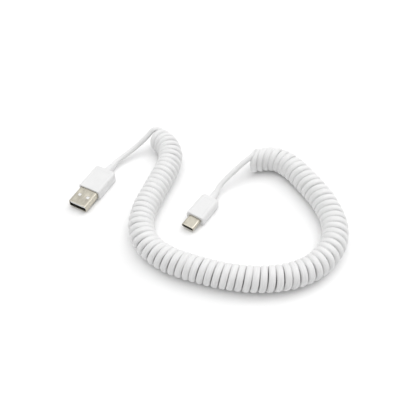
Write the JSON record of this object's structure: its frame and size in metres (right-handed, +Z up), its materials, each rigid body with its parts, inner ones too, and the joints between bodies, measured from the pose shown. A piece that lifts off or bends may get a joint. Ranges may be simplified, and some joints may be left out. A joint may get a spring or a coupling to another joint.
{
  "type": "coiled charging cable",
  "caption": "Coiled charging cable lying in a hook, with a USB-A plug on one lead and a USB-C plug on the other.",
  "frame": {"origin": "centre of the cable's footprint, on the surface that it lies on", "axes": "+Z up; +X along the bottom run of the coil, from the USB-A side to the USB-C side; +Y from the bottom run towards the two open ends of the coil"},
  "size_m": [0.1649, 0.1222, 0.0153],
  "materials": {
    "plated_shell": "warm nickel plate, fine lengthwise grain",
    "black_insulator": "matte moulded",
    "white_insulator": "satin moulded",
    "gold_contact": "gold flash",
    "inner_mould": "plain moulded",
    "housing": "satin overmould",
    "strain_relief": "matte overmould",
    "crimp_metal": "stamped",
    "spring_steel": "stamped",
    "wire_red": "extruded",
    "wire_white": "extruded",
    "wire_green": "extruded",
    "wire_black": "extruded",
    "circuit_board": "solder mask",
    "resistor": "moulded",
    "cord_jacket": "matte soft jacket with fine lengthwise lines"
  },
  "bodies": {
    "coil_near": {"coil_usb_a_end": "cord_jacket", "coil_middle": "cord_jacket"},
    "coil_far": {"coil_usb_c_end": "cord_jacket"},
    "usb_a_plug": {"usb_a_shell": "plated_shell", "usb_a_insulator": "white_insulator", "usb_a_contact_vbus": "gold_contact", "usb_a_contact_data_minus": "gold_contact", "usb_a_contact_data_plus": "gold_contact", "usb_a_contact_ground": "gold_contact", "usb_a_inner_mould": "inner_mould", "usb_a_housing": "housing", "usb_a_strain_relief": "strain_relief", "usb_a_shield_crimp": "crimp_metal", "usb_a_wire_red": "wire_red", "usb_a_wire_white": "wire_white", "usb_a_wire_green": "wire_green", "usb_a_wire_black": "wire_black", "usb_a_lead": "cord_jacket"},
    "usb_c_plug": {"usb_c_shell": "plated_shell", "usb_c_contact_carrier": "black_insulator", "usb_c_contacts_upper": "gold_contact", "usb_c_contacts_lower": "gold_contact", "usb_c_latch_left": "spring_steel", "usb_c_latch_right": "spring_steel", "usb_c_circuit_board": "circuit_board", "usb_c_resistor": "resistor", "usb_c_inner_mould": "inner_mould", "usb_c_housing": "housing", "usb_c_strain_relief": "strain_relief", "usb_c_shield_crimp": "crimp_metal", "usb_c_wire_red": "wire_red", "usb_c_wire_white": "wire_white", "usb_c_wire_green": "wire_green", "usb_c_wire_black": "wire_black", "usb_c_lead": "cord_jacket"}
  },
  "joints": [
    {"name": "coil_stretch", "type": "slide", "parent": "coil_near", "child": "coil_far", "axis": [1, 0, 0], "range_m": [0, 0.12], "stiffness_N_per_m": 12, "deforming": ["coil_middle"]},
    {"name": "usb_a_swing", "type": "hinge", "parent": "coil_near", "child": "usb_a_plug", "pos_m": [-0.0349, 0.0572, 0.0132], "axis": [0, 0, 1], "range_deg": [-40, 15], "deforming": ["usb_a_lead"]},
    {"name": "usb_c_swing", "type": "hinge", "parent": "coil_far", "child": "usb_c_plug", "pos_m": [0.028, 0.034, 0.0134], "axis": [0, 0, 1], "range_deg": [-10, 40], "deforming": ["usb_c_lead"]}
  ]
}
